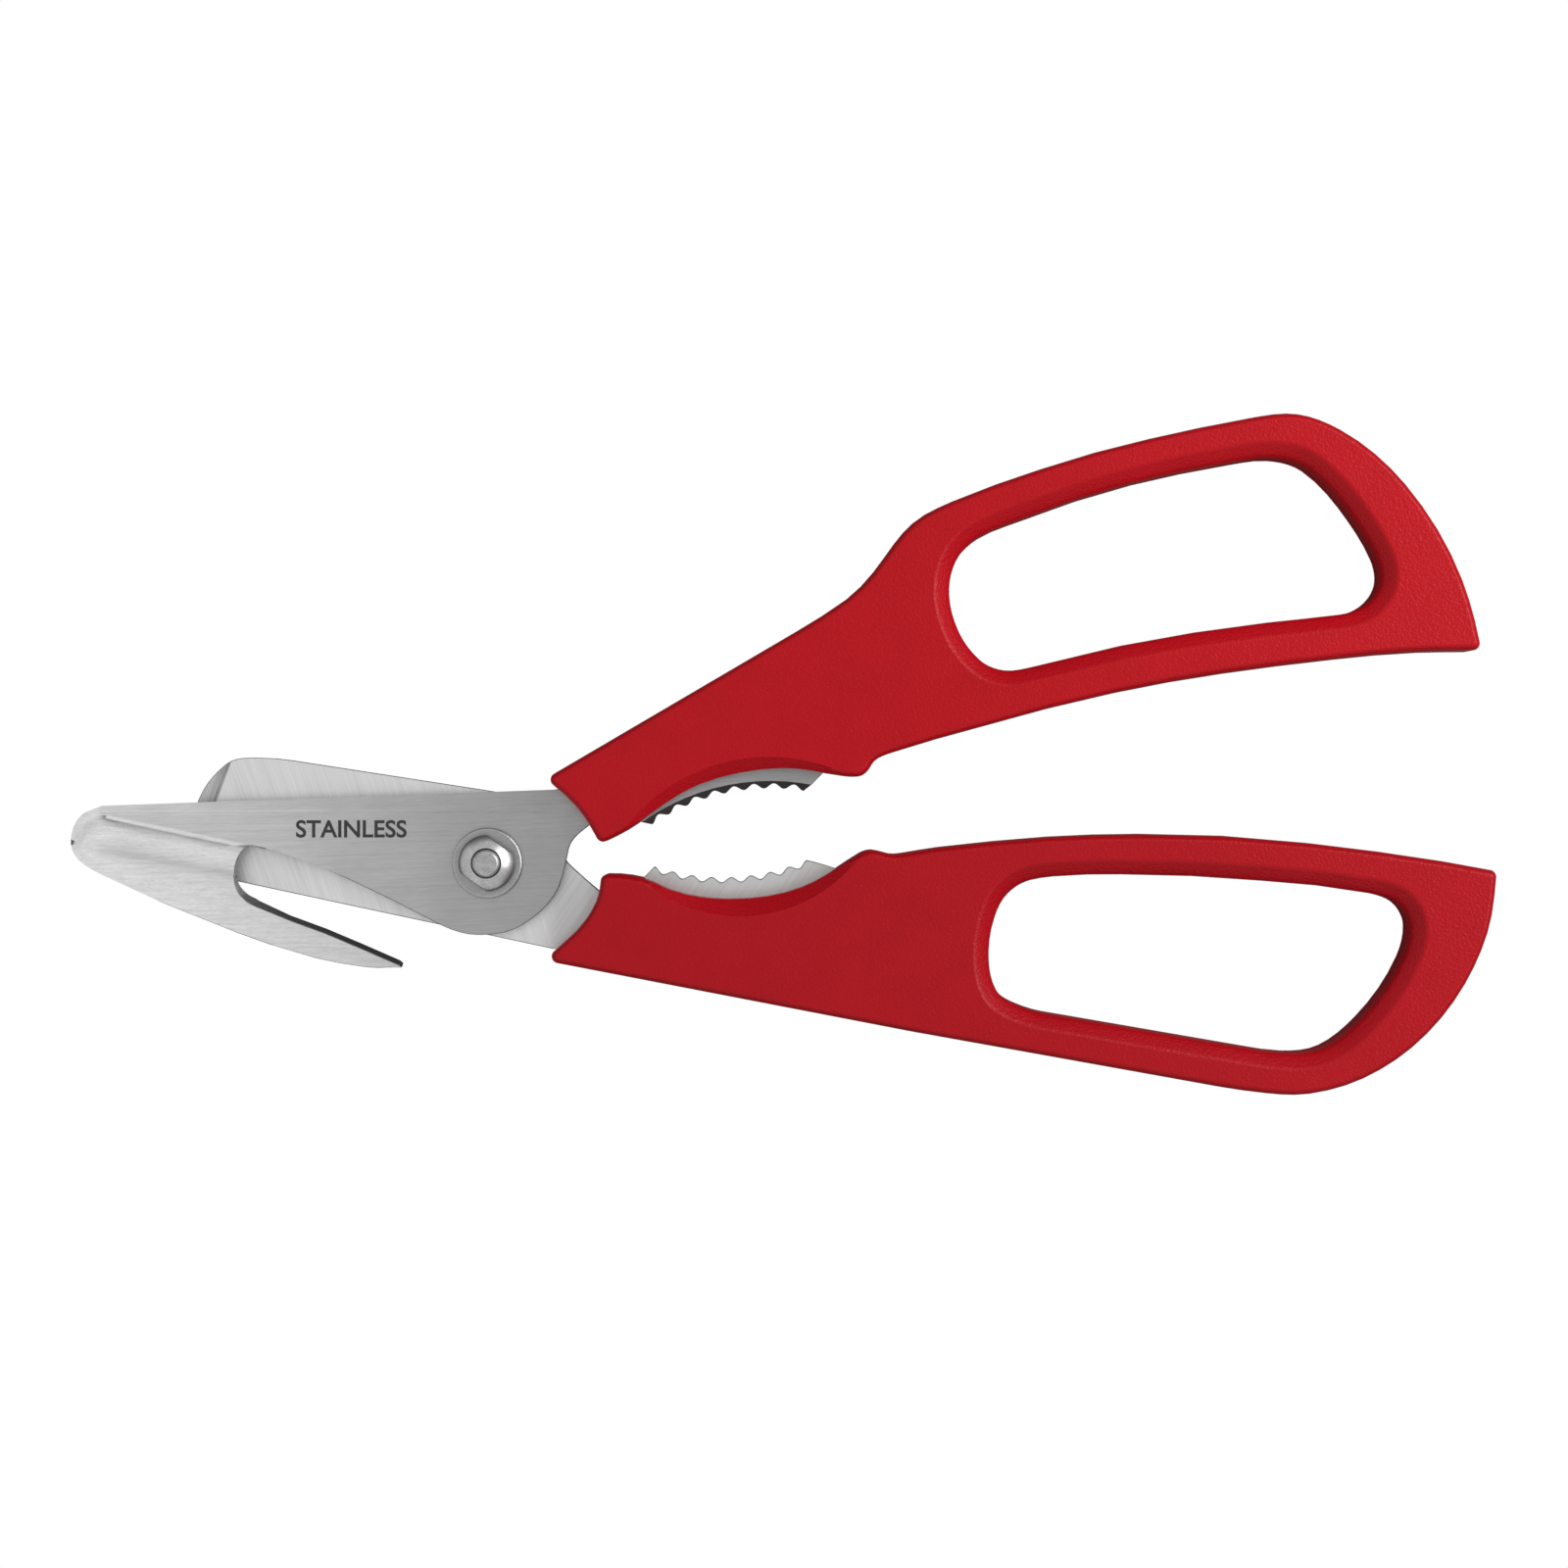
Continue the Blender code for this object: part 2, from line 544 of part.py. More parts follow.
def make_pivot_screw(parent, steel):
    """Low head behind, square neck in the rear blade, round shank up through the nut."""
    rim = HEAD_HEIGHT / 3
    profile = [
        (0, HEAD_BOTTOM), (HEAD_RADIUS - 2 * rim, HEAD_BOTTOM), (HEAD_RADIUS - rim / 2, HEAD_BOTTOM + rim),
        (HEAD_RADIUS, HEAD_BOTTOM + 2 * rim), (HEAD_RADIUS, HEAD_TOP), (SHANK_RADIUS, HEAD_TOP),
        (SHANK_RADIUS, STUD_TOP - STUD_CHAMFER), (SHANK_RADIUS - STUD_CHAMFER, STUD_TOP), (0, STUD_TOP),
    ]
    piece = turned("pivot_screw", profile)
    neck = box("square neck", NECK_SIDE, NECK_SIDE, HEAD_TOP - OVERCUT, REAR_TOP - NECK_RECESS)
    cut(piece, neck)
    piece.modifiers[-1].operation = "UNION"
    finish(piece, parent, steel)


def make_pivot_washer(parent, steel):
    """Plain washer with broken outer edges."""
    hole = SHANK_RADIUS + SHANK_CLEARANCE
    broken = WASHER_THICKNESS / 4
    profile = [
        (hole, WASHER_BOTTOM), (WASHER_RADIUS - broken, WASHER_BOTTOM),
        (WASHER_RADIUS, WASHER_BOTTOM + broken), (WASHER_RADIUS, WASHER_TOP - broken),
        (WASHER_RADIUS - broken, WASHER_TOP), (hole, WASHER_TOP),
    ]
    finish(turned("pivot_washer", profile, closed=True), parent, steel)


def make_pivot_nut(parent, steel):
    """Round nut with a crowned top and two flats for a spanner."""
    hole = SHANK_RADIUS + SHANK_CLEARANCE
    crown = [math.radians(angle) for angle in (0, 30, 60, 90)]
    profile = [(hole, NUT_BOTTOM), (NUT_RADIUS, NUT_BOTTOM)]
    profile += [(NUT_RADIUS - NUT_CROWN * (1 - math.cos(angle)), NUT_TOP - NUT_CROWN * (1 - math.sin(angle)))
                for angle in crown]
    profile.append((hole, NUT_TOP))
    piece = turned("pivot_nut", profile, closed=True)
    for side in (-1, 1):
        centre = (0, side * (NUT_ACROSS_FLATS / 2 + NUT_RADIUS))
        cut(piece, box("nut flat", 3 * NUT_RADIUS, 2 * NUT_RADIUS, NUT_BOTTOM - OVERCUT, NUT_TOP + OVERCUT,
                       centre, NUT_TURN))
    finish(piece, parent, steel)


# ---------------------------------------------------------------- assembly

red_plastic = material("red plastic", (0.52, 0.010, 0.017), 0.45, 0.0)
brushed_steel = material("brushed steel", (0.45, 0.45, 0.45), 0.35, 1.0)
ground_steel = material("ground steel", (0.60, 0.60, 0.60), 0.35, 1.0)

lower_half = empty("lower_half")
upper_half = empty("upper_half", lower_half)

make_front_blade(upper_half, brushed_steel)
make_rear_blade(lower_half, ground_steel)
front_room = tang_cutter("front tang room", front_outline(0), FRONT_ANCHORS, FRONT_BOTTOM, FRONT_TOP)
rear_room = tang_cutter("rear tang room", rear_outline(0), REAR_ANCHORS, REAR_BOTTOM, REAR_TOP)
make_handle("upper_handle", UPPER_HANDLE, UPPER_LOOP, UPPER_FLARE, front_room, upper_half, red_plastic)
make_handle("lower_handle", LOWER_HANDLE, LOWER_LOOP, LOWER_FLARE, rear_room, lower_half, red_plastic)

make_pivot_screw(lower_half, brushed_steel)
make_pivot_washer(lower_half, brushed_steel)
make_pivot_nut(lower_half, brushed_steel)

# The shears' box is centred on the origin and stands on z = 0; the pivot keeps its own origin
bpy.context.view_layer.update()
depsgraph = bpy.context.evaluated_depsgraph_get()
spots = [piece.matrix_world @ vertex.co for piece in shears.objects if piece.type == "MESH"
         for vertex in piece.evaluated_get(depsgraph).data.vertices]
for axis in range(2):
    places = [spot[axis] for spot in spots]
    lower_half.location[axis] = -(min(places) + max(places)) / 2
print("pivot at", [round(value / MM, 3) for value in lower_half.location], "mm")
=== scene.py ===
import json
import math

import bmesh
import bpy
from mathutils import Matrix, Vector

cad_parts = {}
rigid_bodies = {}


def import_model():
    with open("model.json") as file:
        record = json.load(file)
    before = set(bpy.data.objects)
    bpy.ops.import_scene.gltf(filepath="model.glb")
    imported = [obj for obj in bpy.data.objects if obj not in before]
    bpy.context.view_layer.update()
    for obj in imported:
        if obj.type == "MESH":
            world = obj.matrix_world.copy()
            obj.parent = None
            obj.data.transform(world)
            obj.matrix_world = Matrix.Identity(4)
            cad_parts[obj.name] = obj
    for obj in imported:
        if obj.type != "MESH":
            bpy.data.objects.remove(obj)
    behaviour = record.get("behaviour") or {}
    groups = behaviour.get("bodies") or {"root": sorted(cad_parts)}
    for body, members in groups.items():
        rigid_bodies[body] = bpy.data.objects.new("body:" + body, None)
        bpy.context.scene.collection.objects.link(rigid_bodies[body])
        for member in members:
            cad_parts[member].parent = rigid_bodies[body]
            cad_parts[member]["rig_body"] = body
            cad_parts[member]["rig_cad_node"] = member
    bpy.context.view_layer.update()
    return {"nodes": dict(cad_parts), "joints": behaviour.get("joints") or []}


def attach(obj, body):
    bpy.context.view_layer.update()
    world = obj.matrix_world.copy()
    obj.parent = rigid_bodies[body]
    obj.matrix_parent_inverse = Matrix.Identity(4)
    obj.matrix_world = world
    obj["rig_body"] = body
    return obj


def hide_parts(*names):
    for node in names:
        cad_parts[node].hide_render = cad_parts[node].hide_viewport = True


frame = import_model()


# ---------------------------------------------------------------- studio
# A pale table seen from straight above through a long lens.  A white tent stands round it, darker
# low down and in the middle overhead, and a long lamp at the right draws the highlights.

def linear(code):
    """A colour's sRGB hex code as the linear red, green, blue and alpha that a shader takes."""
    channels = [int(code[start:start + 2], 16) / 255 for start in (0, 2, 4)]
    return [c / 12.92 if c <= 0.04045 else ((c + 0.055) / 1.055) ** 2.4 for c in channels] + [1]


def add_node(tree, kind, settings=None, inputs=None):
    """One shader node with its settings; an input is a value or the output socket that feeds it."""
    node = tree.nodes.new(kind)
    for name, value in (settings or {}).items():
        setattr(node, name, value)
    for name, value in (inputs or {}).items():
        socket = node.inputs[name]
        if isinstance(value, bpy.types.NodeSocket):
            tree.links.new(value, socket)
        else:
            socket.default_value = value
    return node


CAMERA_HEIGHT = 0.6282     # metres above the table
AIM = (0.000234, -0.004225)
TABLE_SIDE = 3
scene = bpy.context.scene
camera_data = bpy.data.cameras.new("camera")
camera_data.lens = 100
camera_data.sensor_width = 36
camera_data.clip_start = 0.01
camera = bpy.data.objects.new("camera", camera_data)
camera.location = (*AIM, CAMERA_HEIGHT)
scene.collection.objects.link(camera)
scene.camera = camera
scene.view_settings.view_transform = "Standard"

bpy.ops.object.select_all(action="DESELECT")
bpy.ops.mesh.primitive_plane_add(size=TABLE_SIDE, location=(0, 0, 0))
table = bpy.context.object
table.name = "table"
table_top = bpy.data.materials.new("pale table top")
table_top.use_nodes = True
tree = table_top.node_tree
tree.nodes.clear()
seen = add_node(tree, "ShaderNodeLightPath").outputs["Is Camera Ray"]
white = add_node(tree, "ShaderNodeEmission", None, {"Color": linear("FFFFFF"), "Strength": 1.0})
matt = add_node(tree, "ShaderNodeBsdfDiffuse", None, {"Color": linear("5A5A5A")})
either = add_node(tree, "ShaderNodeMixShader", None, {
    0: seen, 1: matt.outputs["BSDF"], 2: white.outputs["Emission"]})
add_node(tree, "ShaderNodeOutputMaterial", None, {"Surface": either.outputs["Shader"]})
table.data.materials.append(table_top)

OVERHEAD = (0.08, 0.03, 0)                # where overhead the tent is darkest
OVERHEAD_GLOW, SIDE_GLOW = 0.18, 1.1
NEAR_WAY = (-0.75, -0.66, 0)              # low down the tent is bright this way, dark the other
SKIRT_GLOW = 0.1
world = bpy.data.worlds.new("white tent")
scene.world = world
world.use_nodes = True
tent = world.node_tree
tent.nodes.clear()
way = add_node(tent, "ShaderNodeTexCoord").outputs["Generated"]
split = add_node(tent, "ShaderNodeSeparateXYZ", None, {"Vector": way})
level = add_node(tent, "ShaderNodeVectorMath", {"operation": "MULTIPLY"}, {0: way, 1: (1, 1, 0)})
aside = add_node(tent, "ShaderNodeVectorMath", {"operation": "DISTANCE"}, {
    0: level.outputs["Vector"], 1: OVERHEAD})
opening = add_node(tent, "ShaderNodeMapRange", {"interpolation_type": "SMOOTHSTEP"}, {
    "Value": aside.outputs["Value"], "From Min": 0.04, "From Max": 0.36,
    "To Min": OVERHEAD_GLOW, "To Max": SIDE_GLOW})
near = add_node(tent, "ShaderNodeVectorMath", {"operation": "DOT_PRODUCT"}, {
    0: way, 1: NEAR_WAY})
near_side = add_node(tent, "ShaderNodeMapRange", {"interpolation_type": "SMOOTHSTEP"}, {
    "Value": near.outputs["Value"], "From Min": -0.2, "From Max": 0.4,
    "To Min": SKIRT_GLOW, "To Max": 1.0})
low = add_node(tent, "ShaderNodeMapRange", {"interpolation_type": "SMOOTHSTEP"}, {
    "Value": split.outputs["Z"], "From Min": 0.05, "From Max": 0.4,
    "To Min": near_side.outputs["Result"], "To Max": 1.0})
light = add_node(tent, "ShaderNodeMath", {"operation": "MULTIPLY"}, {
    0: opening.outputs["Result"], 1: low.outputs["Result"]})
glow = add_node(tent, "ShaderNodeBackground", None, {
    "Color": linear("FFFFFF"), "Strength": light.outputs["Value"]})
add_node(tent, "ShaderNodeOutputWorld", None, {"Surface": glow.outputs["Background"]})

LAMP_LENGTH, LAMP_WIDTH = 0.36, 0.14      # metres
LAMP_WATTS = 1.9
LAMP_PLACE = Vector((0.31, 0.12, 0.25))
lamp = bpy.data.lights.new("right lamp", "AREA")
lamp.shape = "RECTANGLE"
lamp.size = LAMP_LENGTH
lamp.size_y = LAMP_WIDTH
lamp.energy = LAMP_WATTS
lamp_head = bpy.data.objects.new("right lamp", lamp)
lamp_head.location = LAMP_PLACE
lamp_head.rotation_euler = (-LAMP_PLACE).to_track_quat("-Z", "Y").to_euler()
scene.collection.objects.link(lamp_head)


# ---------------------------------------------------------------- handles
# Two moulded handles of nylon, each with a closed finger loop, rounded rims and a shallow flare
# beside the jaws.  The mould's spark-eroded walls leave a fine satin grain.

MM = 0.001
HALF = 6.0                 # millimetres from the mould's parting plane to a handle's face
# Rims as (how far in from the wall, height above the parting plane), from the wall to the face
OUTER_RIM = [(0.0, 4.5), (0.06, 4.95), (0.17, 5.33), (0.34, 5.64), (0.56, 5.86), (0.75, 5.96),
             (0.9, 6.0)]
LOOP_RIM = [(0.0, 3.3), (0.04, 3.75), (0.18, 4.15), (0.5, 4.55), (1.1, 5.1), (1.75, 5.66),
            (1.98, 5.84), (2.2, 5.95), (2.45, 6.0), (2.45, 7.0)]
FLARE_DEPTH = 3.2          # of the flare's cone in each face, and how far the cutter stands over it
FLARE_OVER = 1.0
SOFT_EDGE = 0.3
GRAIN_STEPS = 2600         # of noise to the metre: grains 0.4 mm wide, drawn coarse enough to show
CLOUD_STEPS = 160          # of the slow change of tone, about 6 mm wide
GRAIN_DEPTH = 0.08
# The height of the outline's section, the flare as (x, y, radius) from the pivot, and both reds;
# the lower handle's reds are painted darker than the upper's as painted shade
HANDLES = {
    "upper_handle": {"body": "upper_half", "section": 3.4, "flare": (40.1, -10.7, 25.8),
                     "red": ("86010A", "92030F")},
    # Painted shade: the lower handle's reds are darker copies of the upper handle's
    "lower_handle": {"body": "lower_half", "section": 8.6, "flare": (35.9, 13.9, 21.4),
                     "red": ("80010A", "8B030F")},
}


def copy_node(node, name):
    """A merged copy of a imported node, as the only selected object."""
    bpy.ops.object.select_all(action="DESELECT")
    piece = frame["nodes"][node].copy()
    piece.data = piece.data.copy()
    piece.name = name
    piece.parent = None
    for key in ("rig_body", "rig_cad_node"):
        if key in piece:
            del piece[key]
    scene.collection.objects.link(piece)
    piece.data.materials.clear()
    bpy.context.view_layer.objects.active = piece
    piece.select_set(True)
    bpy.ops.object.mode_set(mode="EDIT")
    bpy.ops.mesh.select_all(action="SELECT")
    bpy.ops.mesh.remove_doubles(threshold=0.002 * MM)
    bpy.ops.object.mode_set(mode="OBJECT")
    return piece


def make_only(piece):
    """Leave one object selected and active."""
    bpy.ops.object.select_all(action="DESELECT")
    piece.select_set(True)
    bpy.context.view_layer.objects.active = piece


def apply_modifiers(piece):
    """Apply all of a piece's modifiers, in their order."""
    make_only(piece)
    for modifier in list(piece.modifiers):
        bpy.ops.object.modifier_apply(modifier=modifier.name)


def raise_rims(piece, profile, side):
    """A closed solid on an outline at z = 0: walls that follow the profile, alike above and below.

    The profile's insets go into the solid where side is 1, and out of it where side is -1.
    """
    make_only(piece)
    bpy.ops.object.mode_set(mode="EDIT")
    bpy.ops.mesh.select_all(action="SELECT")
    for _ in profile:
        bpy.ops.mesh.extrude_edges_move()
        bpy.ops.transform.translate(value=(0, 0, MM))
    bpy.ops.mesh.edge_face_add()
    bpy.ops.mesh.select_all(action="SELECT")
    bpy.ops.mesh.normals_make_consistent(inside=False)
    bpy.ops.object.mode_set(mode="OBJECT")
    shape = bmesh.new()
    shape.from_mesh(piece.data)
    moves = []
    for vertex in shape.verts:
        ring = round(vertex.co.z / MM)
        inset, height = profile[ring - 1] if ring else (profile[0][0], 0.0)
        walls = [face.normal for face in vertex.link_faces if abs(face.normal.z) < 0.5]
        out = sum(walls, Vector()).normalized()
        out /= out.dot(walls[0])
        moves.append((vertex, out * -inset * side * MM, height * MM))
    for vertex, shift, height in moves:
        vertex.co = Vector((vertex.co.x + shift.x, vertex.co.y + shift.y, height))
    shape.to_mesh(piece.data)
    shape.free()
    mirror = piece.modifiers.new("other side", "MIRROR")
    mirror.use_axis = (False, False, True)
    mirror.merge_threshold = MM / 1000
    apply_modifiers(piece)
    bpy.ops.object.mode_set(mode="EDIT")
    bpy.ops.mesh.select_all(action="SELECT")
    bpy.ops.mesh.normals_make_consistent(inside=False)
    bpy.ops.transform.translate(value=(0, 0, HALF * MM))
    bpy.ops.object.mode_set(mode="OBJECT")


def take_away(piece, cutter):
    """Cut one solid out of another and remove the cutter."""
    cut = piece.modifiers.new("cut", "BOOLEAN")
    cut.operation = "DIFFERENCE"
    cut.solver = "EXACT"
    cut.object = cutter
    apply_modifiers(piece)
    bpy.data.objects.remove(cutter)


def smooth_but_flat(piece, angle):
    """Smooth shading that leaves the flat faces flat and keeps edges over the angle sharp."""
    make_only(piece)
    bpy.ops.object.shade_smooth_by_angle(angle=math.radians(angle))
    shape = bmesh.new()
    shape.from_mesh(piece.data)
    for edge in shape.edges:
        if len({face.material_index for face in edge.link_faces}) > 1:
            edge.smooth = False
    shape.to_mesh(piece.data)
    shape.free()
    weighted = piece.modifiers.new("flat faces stay flat", "WEIGHTED_NORMAL")
    weighted.keep_sharp = True
    apply_modifiers(piece)


def grained_nylon(name, dark, light):
    """Moulded plastic: an even colour under a fine grain that breaks up the gloss."""
    made = bpy.data.materials.new(name)
    made.use_nodes = True
    tree = made.node_tree
    shader = tree.nodes["Principled BSDF"]
    place = add_node(tree, "ShaderNodeTexCoord").outputs["Object"]
    grain = add_node(tree, "ShaderNodeTexNoise", None, {
        "Vector": place, "Scale": GRAIN_STEPS, "Detail": 3})
    cloud = add_node(tree, "ShaderNodeTexNoise", None, {
        "Vector": place, "Scale": CLOUD_STEPS, "Detail": 4})
    tone = add_node(tree, "ShaderNodeMixRGB", None, {
        "Fac": cloud.outputs["Fac"], "Color1": linear(dark), "Color2": linear(light)})
    tree.links.new(tone.outputs["Color"], shader.inputs["Base Color"])
    gloss = add_node(tree, "ShaderNodeMapRange", None, {
        "Value": grain.outputs["Fac"], "To Min": 0.3, "To Max": 0.46})
    tree.links.new(gloss.outputs["Result"], shader.inputs["Roughness"])
    bump = add_node(tree, "ShaderNodeBump", None, {
        "Height": grain.outputs["Fac"], "Strength": 1.3, "Distance": GRAIN_DEPTH * MM})
    tree.links.new(bump.outputs["Normal"], shader.inputs["Normal"])
    shader.inputs["IOR"].default_value = 1.5
    shader.inputs["Specular IOR Level"].default_value = 0.13
    return made


pivot = Vector(frame["joints"][0]["pos_m"])
for node, facts in HANDLES.items():
    # The outlines are the CAD handle's own section, clear of the tang and the flares
    handle = copy_node(node, "moulded_" + node)
    bpy.ops.object.mode_set(mode="EDIT")
    bpy.ops.mesh.select_all(action="SELECT")
    bpy.ops.mesh.bisect(plane_co=(0, 0, facts["section"] * MM), plane_no=(0, 0, 1),
                        clear_inner=True, clear_outer=True)
    bpy.ops.mesh.select_all(action="SELECT")
    bpy.ops.mesh.dissolve_limited(angle_limit=math.radians(0.3))
    bpy.ops.transform.translate(value=(0, 0, -facts["section"] * MM))
    bpy.ops.mesh.separate(type="LOOSE")
    bpy.ops.object.mode_set(mode="OBJECT")
    handle, loop = sorted(bpy.context.selected_objects, key=lambda part: -part.dimensions.x)
    handle.name = "moulded_" + node
    raise_rims(handle, OUTER_RIM, 1)
    raise_rims(loop, LOOP_RIM, -1)
    take_away(handle, loop)

    # The flare is a cone's cut in both faces
    x, y, radius = facts["flare"]
    for side in (1, -1):
        bpy.ops.object.select_all(action="DESELECT")
        wide, narrow = radius + FLARE_OVER, radius - FLARE_DEPTH
        bpy.ops.mesh.primitive_cone_add(
            vertices=160, radius1=(narrow if side > 0 else wide) * MM,
            radius2=(wide if side > 0 else narrow) * MM, depth=(FLARE_DEPTH + FLARE_OVER) * MM,
            location=(pivot.x + x * MM, pivot.y + y * MM,
                      (HALF + side * (HALF + (FLARE_OVER - FLARE_DEPTH) / 2)) * MM))
        take_away(handle, bpy.context.object)
    soften = handle.modifiers.new("softened creases", "BEVEL")
    soften.width = SOFT_EDGE * MM
    soften.segments = 3
    soften.limit_method = "ANGLE"
    soften.angle_limit = math.radians(34)
    apply_modifiers(handle)
    smooth_but_flat(handle, 40)
    handle.data.materials.append(grained_nylon("grained red nylon " + node[:5], *facts["red"]))
    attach(handle, facts["body"])
    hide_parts(node)


# ---------------------------------------------------------------- front blade
# Stainless sheet 2 mm thick: stamped, pressed into a scoop, and brushed along its length.  The
# stamped edges are left rough and look dark beside the faces; the narrow bevels along them are
# drawn in the same dark steel as painted shade lines.

EDGE_UPRIGHT = 0.58        # a face whose normal rises less than this is a stamped edge
BREAK = 0.1                # millimetres that deburring takes off a blade's edges
JOIN_ANGLE = 0.2           # degrees: flatter neighbours are one face before the deburring
WELD = 0.003               # millimetres, after it
SPECK = 0.001
WEAR_STEPS = 120           # of noise to the metre: worn patches about 8 mm wide


def streaks(tree, place, heading, width, length):
    """Fine marks of a width and length, in mm, that run along a heading in the blade's plane."""
    turned = add_node(tree, "ShaderNodeMapping", None, {
        "Vector": place, "Rotation": (0, 0, math.radians(-heading))})
    drawn = add_node(tree, "ShaderNodeMapping", None, {
        "Vector": turned.outputs["Vector"],
        "Scale": (1 / (length * MM), 1 / (width * MM), 1 / (width * MM))})
    fine = add_node(tree, "ShaderNodeTexNoise", None, {
        "Vector": drawn.outputs["Vector"], "Scale": 1.0, "Detail": 3, "Roughness": 0.6})
    broad = add_node(tree, "ShaderNodeTexNoise", None, {
        "Vector": drawn.outputs["Vector"], "Scale": 0.15, "Detail": 2})
    both = add_node(tree, "ShaderNodeMix", None, {
        "Factor": 0.35, "A": fine.outputs["Fac"], "B": broad.outputs["Fac"]})
    return add_node(tree, "ShaderNodeMapRange", None, {
        "Value": both.outputs["Result"], "From Min": 0.3, "From Max": 0.7}).outputs["Result"]


def steel_tree(name):
    """A new material with a bare metal shader, and the place on the object to draw marks from."""
    made = bpy.data.materials.new(name)
    made.use_nodes = True
    shader = made.node_tree.nodes["Principled BSDF"]
    shader.inputs["Metallic"].default_value = 1.0
    place = add_node(made.node_tree, "ShaderNodeTexCoord").outputs["Object"]
    return made, made.node_tree, shader, place


def worked(tree, shader, marks, dark, light, roughness, bump):
    """Join marks to a metal shader: its tone, its gloss and a slight relief; returns the tone."""
    tone = add_node(tree, "ShaderNodeMix", {"data_type": "RGBA"}, {
        "Factor": marks, 6: linear(dark), 7: linear(light)})
    gloss = add_node(tree, "ShaderNodeMapRange", None, {
        "Value": marks, "To Min": roughness + 0.05, "To Max": roughness - 0.05})
    relief = add_node(tree, "ShaderNodeBump", None, {
        "Height": marks, "Strength": bump, "Distance": 0.02 * MM})
    tree.links.new(tone.outputs[2], shader.inputs["Base Color"])
    tree.links.new(gloss.outputs["Result"], shader.inputs["Roughness"])
    tree.links.new(relief.outputs["Normal"], shader.inputs["Normal"])
    return tone.outputs[2]


def broken_edges(piece, width, angle, bevel_material_slot, smooth, clamped=False, left_sharp=()):
    """Deburred edges: a narrow bevel along every edge sharper than the angle, in a given material
    slot;
    in the dark edge steel the bevels are painted shade lines.

    Edges within the spots that are left sharp, given as (middle, radius), keep their corners.
    """
    make_only(piece)
    bpy.ops.object.mode_set(mode="EDIT")
    bpy.ops.mesh.select_all(action="SELECT")
    bpy.ops.mesh.dissolve_limited(angle_limit=math.radians(JOIN_ANGLE), delimit={"MATERIAL"})
    bpy.ops.object.mode_set(mode="OBJECT")
    shape = bmesh.new()
    shape.from_mesh(piece.data)
    weight = shape.edges.layers.float.new("bevel_weight_edge")
    for edge in shape.edges:
        spared = any((vertex.co - middle).xy.length < radius
                     for vertex in edge.verts for middle, radius in left_sharp)
        edge[weight] = float(edge.calc_face_angle(0) > math.radians(angle) and not spared)
    shape.to_mesh(piece.data)
    shape.free()
    bevel = piece.modifiers.new("broken edges", "BEVEL")
    bevel.width = width * MM
    bevel.segments = 2
    bevel.limit_method = "WEIGHT"
    bevel.material = bevel_material_slot
    bevel.use_clamp_overlap = clamped
    apply_modifiers(piece)
    bpy.ops.object.mode_set(mode="EDIT")
    bpy.ops.mesh.select_all(action="SELECT")
    bpy.ops.mesh.remove_doubles(threshold=WELD * MM)
    bpy.ops.mesh.dissolve_degenerate(threshold=SPECK * MM)
    bpy.ops.object.mode_set(mode="OBJECT")
    smooth_but_flat(piece, smooth)


def stamp_and_shade_edges(piece, steel, edge_and_shade_steel, upright):
    """Faces that stand more upright than the limit take the dark edge steel: they are a sheet's
    stamped edges on the blades, and painted shade lines round the pivot's parts.
    """
    piece.data.materials.append(steel)
    piece.data.materials.append(edge_and_shade_steel)
    for face in piece.data.polygons:
        face.material_index = int(abs(face.normal.z) < upright)


front_steel, tree, shader, place = steel_tree("stainless brushed along the blade")
brushing = streaks(tree, place, heading=2, width=0.06, length=2.4)
tone = worked(tree, shader, brushing, "ACACAC", "D2D2D2", roughness=0.32, bump=0.1)
split = add_node(tree, "ShaderNodeSeparateXYZ", None, {"Vector": place})
wear = add_node(tree, "ShaderNodeTexNoise", None, {
    "Vector": place, "Scale": WEAR_STEPS, "Detail": 3})
# Painted light and shade: the sheet's colour is painted brighter towards the nose and darker
# towards the handles
painted_shade_towards_handles = add_node(tree, "ShaderNodeMapRange", {"interpolation_type": "SMOOTHSTEP"}, {
    "Value": split.outputs["X"], "From Min": pivot.x - 52 * MM, "From Max": pivot.x + 14 * MM,
    "To Min": 1.13, "To Max": 0.72})
patchy = add_node(tree, "ShaderNodeMapRange", None, {
    "Value": wear.outputs["Fac"], "From Min": 0.3, "From Max": 0.7, "To Min": 0.95, "To Max": 1.05})
# The painted shade times the random worn patches
painted_shade_and_wear = add_node(tree, "ShaderNodeMath", {"operation": "MULTIPLY"}, {
    0: painted_shade_towards_handles.outputs["Result"], 1: patchy.outputs["Result"]})
# The brushed tone darkened by the painted shade and the worn patches
shaded_and_worn_tone = add_node(tree, "ShaderNodeVectorMath", {"operation": "SCALE"}, {
    0: tone, "Scale": painted_shade_and_wear.outputs["Value"]})
tree.links.new(shaded_and_worn_tone.outputs["Vector"], shader.inputs["Base Color"])
# Dark steel for the stamped edges, drawn too on bevels and pivot parts as painted shade lines
stamped_and_shaded_steel, tree, shader, place = steel_tree("stamped stainless edge and painted shade line")
tears = streaks(tree, place, heading=0, width=0.1, length=0.4)
worked(tree, shader, tears, "585858", "7A7A7A", roughness=0.5, bump=0.25)
front = copy_node("front_blade", "brushed_front_blade")

